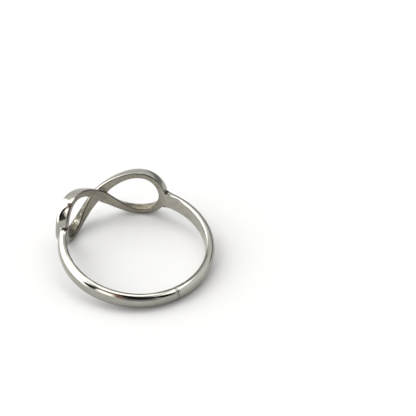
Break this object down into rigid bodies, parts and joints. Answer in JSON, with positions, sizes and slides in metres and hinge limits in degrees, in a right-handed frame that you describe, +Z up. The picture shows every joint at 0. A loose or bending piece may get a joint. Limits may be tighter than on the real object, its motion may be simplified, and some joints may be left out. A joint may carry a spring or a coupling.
{
  "type": "infinity ring",
  "caption": "Polished silver finger ring whose half round band ends in an open figure of eight.",
  "frame": {"origin": "bottom centre of the bounding box, with the ring lying on its side as it rests", "axes": "+Z up, the shortest extent of the box, +Y from the back of the band towards the figure of eight"},
  "size_m": [0.023, 0.024, 0.0085],
  "materials": {
    "polished_silver": "polished"
  },
  "bodies": {
    "root": {"infinity_ring": "polished_silver"}
  },
  "joints": []
}
